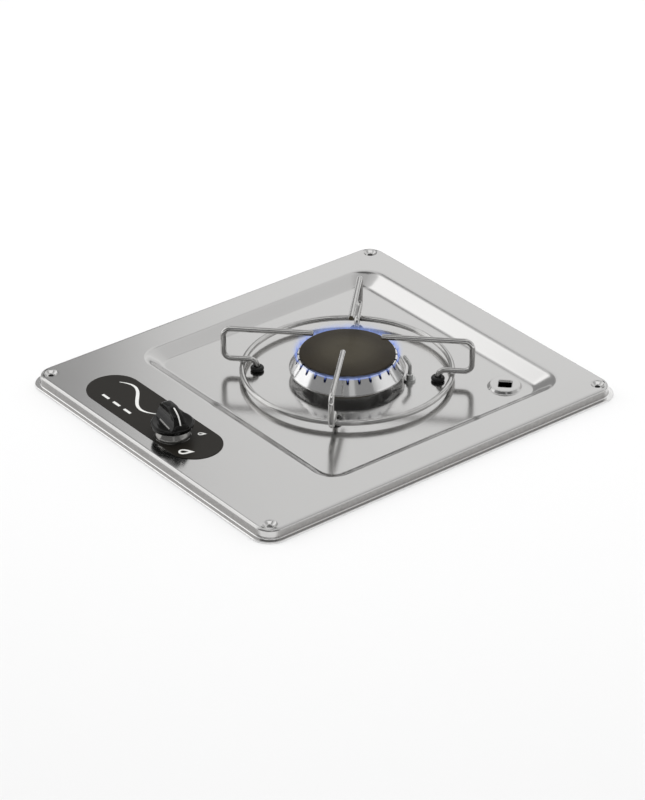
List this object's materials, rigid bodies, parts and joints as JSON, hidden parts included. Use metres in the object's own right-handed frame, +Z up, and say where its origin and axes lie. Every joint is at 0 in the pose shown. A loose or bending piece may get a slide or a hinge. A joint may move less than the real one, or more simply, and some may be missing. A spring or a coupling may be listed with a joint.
{
  "type": "drop-in single-burner gas hob",
  "caption": "Drop-in gas hob with a pressed steel top, sunken well, push-and-turn knob, round burner with lift-off cap and a lift-off wire pan support.",
  "frame": {"origin": "centre of the flange's underside, the plane that rests on the worktop", "axes": "+Z up, +Y to the back, +X to the right seen from the knob side"},
  "size_m": [0.325, 0.372, 0.0819],
  "materials": {
    "pressed_steel": "satin stainless steel, pressed",
    "wire_chrome": "bright plated wire",
    "bush_rubber": "black moulded rubber",
    "seal_foam": "black foam strip",
    "label_film": "black overlay film, pale marks",
    "knob_plastic": "glossy black",
    "pointer_plastic": "white inlay",
    "spring_wire": "spring steel",
    "tap_brass": "machined brass",
    "zinc_steel": "zinc plated steel",
    "cast_aluminium": "die cast",
    "crown_aluminium": "polished casting",
    "cap_enamel": "dark brown-black enamel on steel",
    "pipe_aluminium": "drawn tube",
    "lead_copper": "copper capillary",
    "gasket_fibre": "heat resistant fibre gasket"
  },
  "bodies": {
    "hob": {"hob_top": "pressed_steel", "rim_seal": "seal_foam", "control_label": "label_film", "valve_spring": "spring_wire", "valve_body": "tap_brass", "valve_bonnet": "tap_brass", "valve_bracket": "zinc_steel", "valve_screw_left": "zinc_steel", "valve_screw_right": "zinc_steel", "magnet_unit": "tap_brass", "thermocouple_nut": "tap_brass", "burner_cup": "cast_aluminium", "cup_gasket": "gasket_fibre", "cup_clamp_ring": "zinc_steel", "cup_screw_1": "zinc_steel", "cup_screw_2": "zinc_steel", "cup_screw_3": "zinc_steel", "jet_holder": "tap_brass", "jet": "tap_brass", "supply_pipe": "pipe_aluminium", "inlet_pipe": "zinc_steel", "supply_nut_valve": "tap_brass", "supply_nut_jet": "tap_brass", "inlet_nut": "tap_brass", "thermocouple_probe": "zinc_steel", "probe_holder": "zinc_steel", "thermocouple_lead": "lead_copper", "bush_right": "bush_rubber", "bush_rear": "bush_rubber", "bush_left": "bush_rubber", "bush_front": "bush_rubber"},
    "push_ring": {"valve_push_ring": "zinc_steel"},
    "knob": {"knob": "knob_plastic", "knob_pointer": "pointer_plastic", "knob_clip": "spring_wire", "valve_spindle": "zinc_steel"},
    "plug": {"valve_plug": "tap_brass"},
    "pan_support": {"pan_ring": "wire_chrome", "pan_rest_right": "wire_chrome", "pan_rest_rear": "wire_chrome", "pan_rest_left": "wire_chrome", "pan_rest_front": "wire_chrome"},
    "crown": {"burner_crown": "crown_aluminium"},
    "cap": {"burner_cap": "cap_enamel"}
  },
  "joints": [
    {"name": "knob_push", "type": "slide", "parent": "hob", "child": "push_ring", "axis": [0, 0, -1], "range_m": [0, 0.003], "stiffness_N_per_m": 1500, "springref_m": -0.002, "deforming": ["valve_spring"]},
    {"name": "knob_turn", "type": "hinge", "parent": "push_ring", "child": "knob", "pos_m": [-0.0048, -0.151, 0], "axis": [0, 0, 1], "range_deg": [-90, 69]},
    {"name": "plug_turn", "type": "hinge", "parent": "hob", "child": "plug", "pos_m": [-0.0048, -0.151, -0.017], "axis": [0, 0, 1], "range_deg": [-90, 69]},
    {"name": "pan_lift", "type": "slide", "parent": "hob", "child": "pan_support", "axis": [0, 0, 1], "range_m": [0, 0.06]},
    {"name": "crown_lift", "type": "slide", "parent": "hob", "child": "crown", "axis": [0, 0, 1], "range_m": [0, 0.006]},
    {"name": "cap_lift", "type": "slide", "parent": "crown", "child": "cap", "axis": [0, 0, 1], "range_m": [0, 0.004]}
  ],
  "couplings": [
    {"joint": "plug_turn", "follows": "knob_turn", "ratio": 1}
  ]
}
